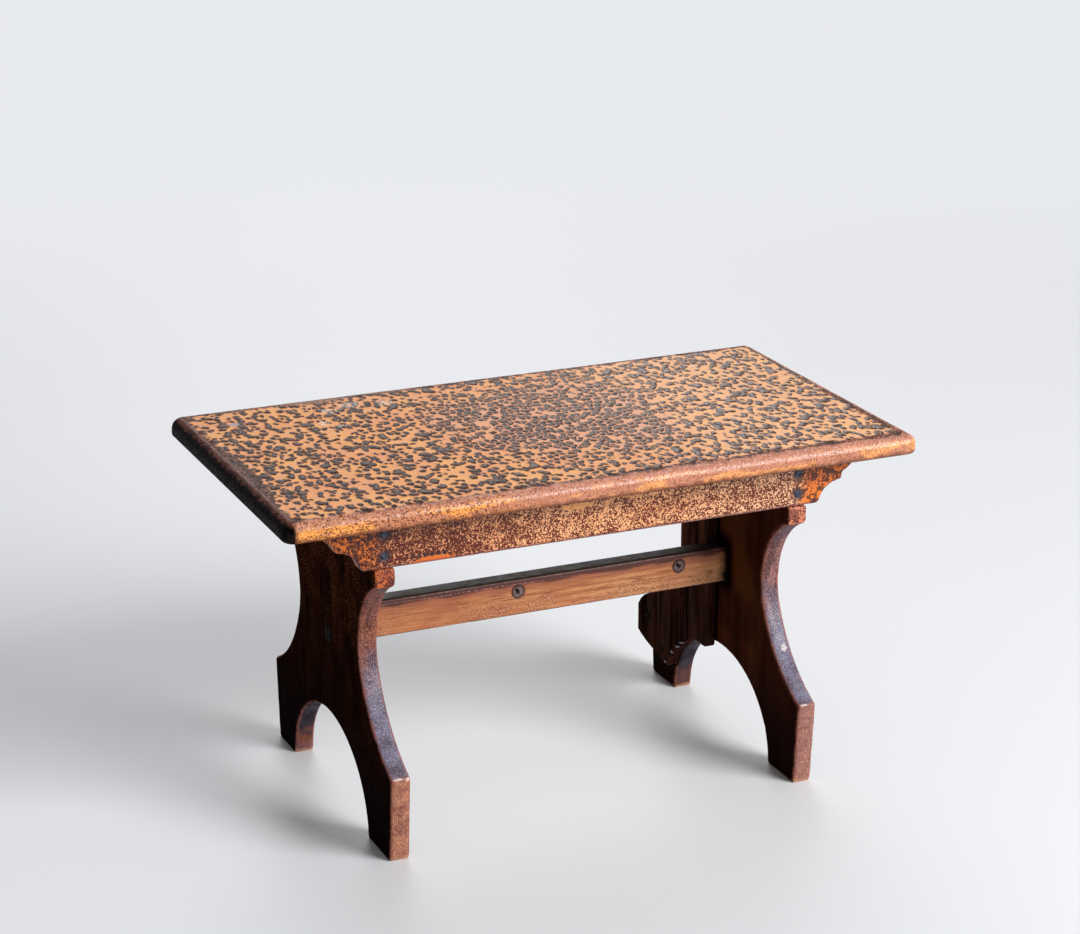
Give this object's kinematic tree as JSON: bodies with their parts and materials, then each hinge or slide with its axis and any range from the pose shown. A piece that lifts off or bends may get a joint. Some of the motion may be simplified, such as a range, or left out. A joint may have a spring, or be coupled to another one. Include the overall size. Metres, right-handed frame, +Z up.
{
  "type": "wooden stool",
  "caption": "Oblong footstool: round-nosed seat board on hollow-sided, arched trestle ends, with moulded aprons and a stretcher between the ends.",
  "frame": {"origin": "on the floor, under the middle of the seat board", "axes": "+X along the seat towards the mended trestle, -Y towards the front of the picture, +Z up"},
  "size_m": [0.4, 0.219, 0.2195],
  "materials": {
    "seat_varnish": "orange varnish drawn into dark raised islands, satin gloss",
    "apron_varnish": "orange varnish with a fine dark crackle, satin gloss",
    "trestle_wood": "very dark brown stain and varnish, worn at the edges",
    "stretcher_wood": "light red-brown varnish over straight grain",
    "plug_filler": "dull grey filler",
    "rough_wood": "rough dark stained board",
    "old_iron": "dark blue-grey oxidised iron",
    "bare_wood": "bare sawn wood, dusty"
  },
  "bodies": {
    "root": {"top_board": "seat_varnish", "front_apron": "apron_varnish", "rear_apron": "apron_varnish", "left_trestle": "trestle_wood", "right_trestle": "trestle_wood", "stretcher": "stretcher_wood", "stretcher_plugs": "plug_filler", "mending_board": "rough_wood", "apron_nails": "old_iron", "stretcher_screws": "old_iron", "mending_nails": "old_iron", "glue_blocks": "bare_wood"}
  },
  "joints": []
}
